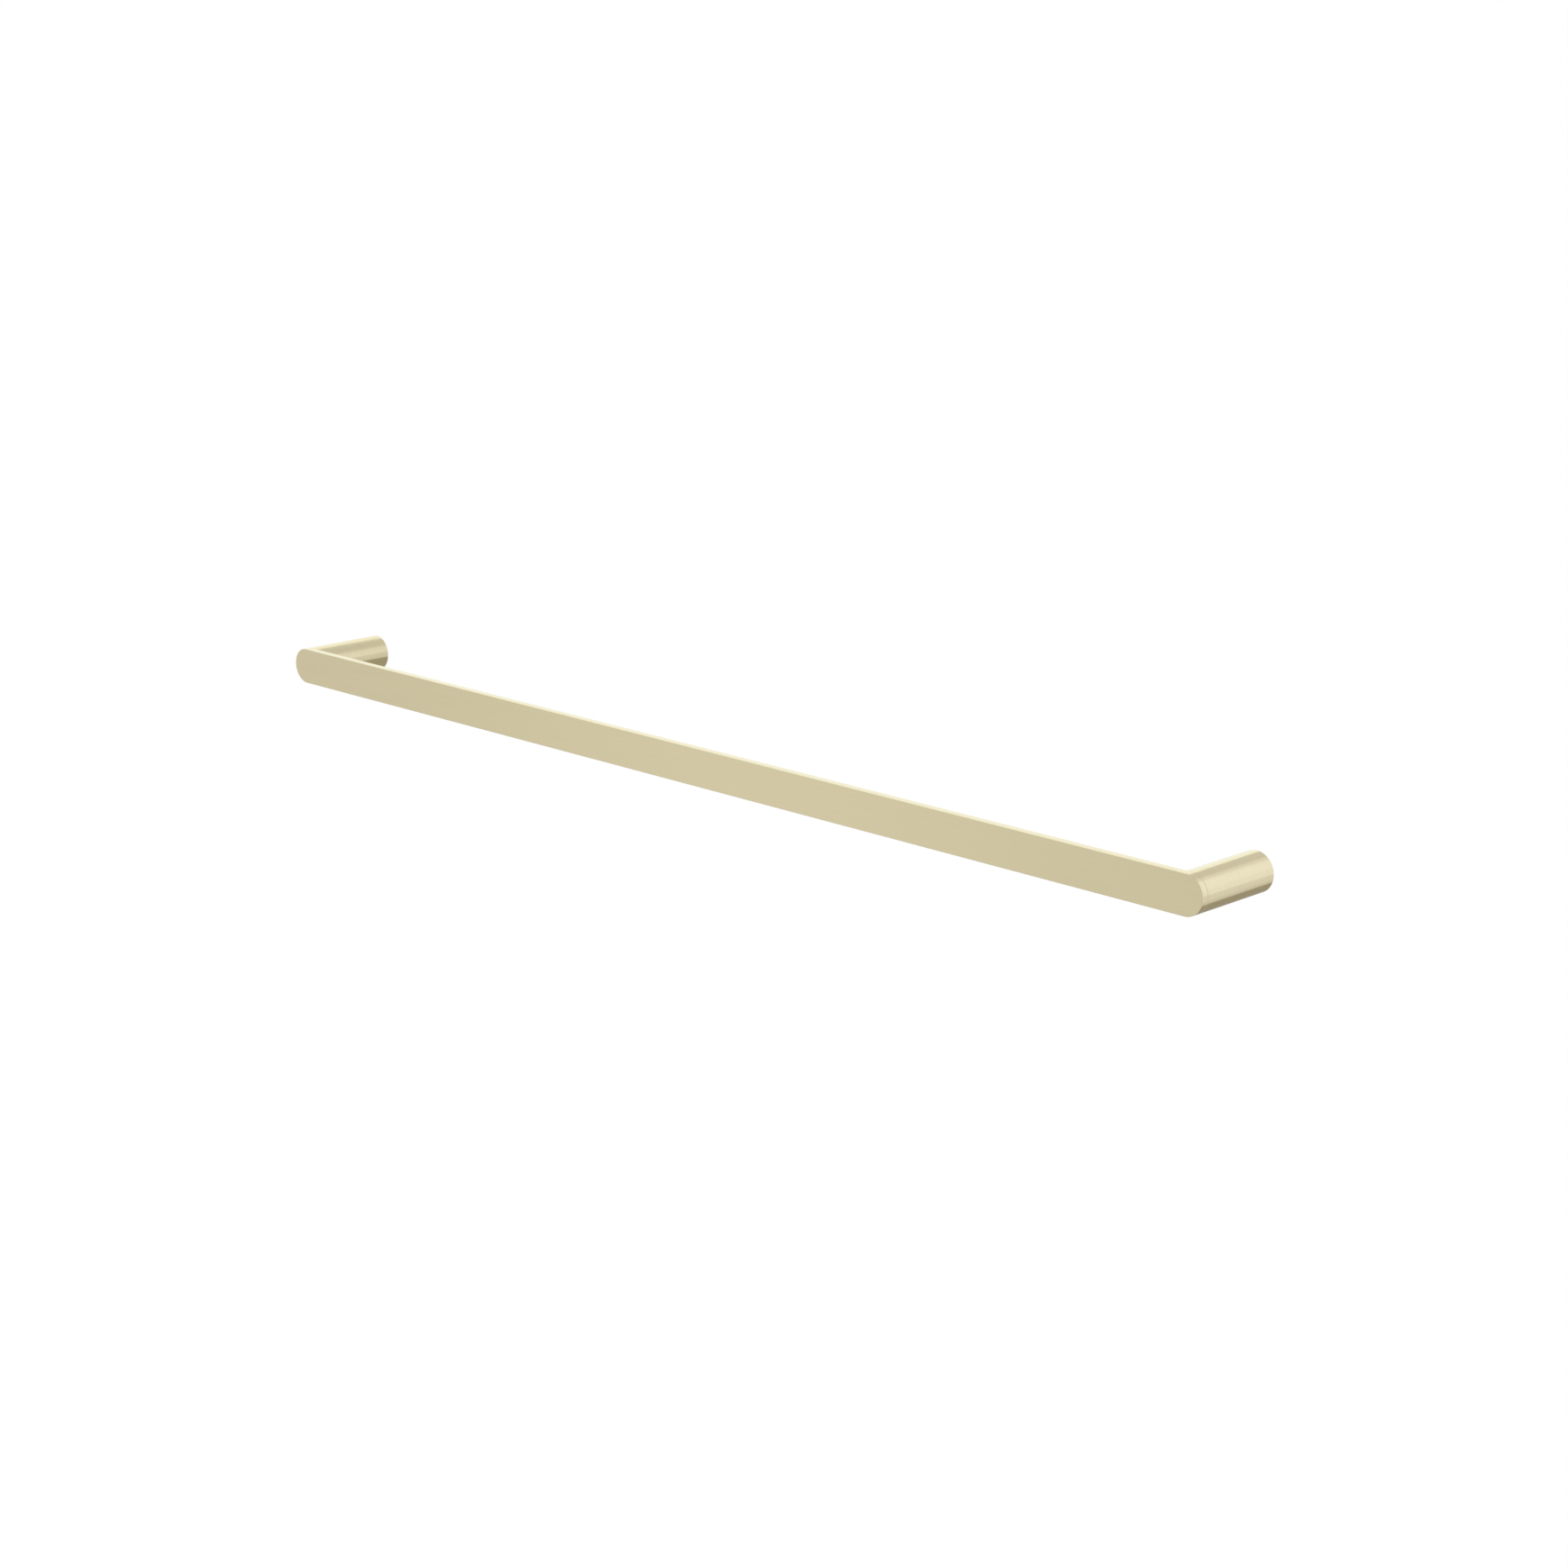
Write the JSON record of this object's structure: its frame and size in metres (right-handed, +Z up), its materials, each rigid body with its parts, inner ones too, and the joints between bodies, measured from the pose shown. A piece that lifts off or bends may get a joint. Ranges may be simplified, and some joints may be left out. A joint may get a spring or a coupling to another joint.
{
  "type": "towel rail",
  "caption": "Wall-mounted towel rail: a flat brushed bar with round ends, carried by round posts that slip over hidden wall brackets.",
  "frame": {"origin": "on the wall plane, midway between the two posts, at the height of their axes", "axes": "+X along the bar to the right as seen from the room, +Y into the wall, +Z up"},
  "size_m": [0.825, 0.065, 0.025],
  "materials": {
    "gold_finish": "brushed satin pale gold",
    "bracket_steel": "turned stainless steel",
    "screw_steel": "plain stainless steel"
  },
  "bodies": {
    "root": {"front_bar": "gold_finish", "left_post": "gold_finish", "right_post": "gold_finish", "left_wall_bracket": "bracket_steel", "right_wall_bracket": "bracket_steel", "grub_screws": "screw_steel", "post_screws": "screw_steel"}
  },
  "joints": []
}
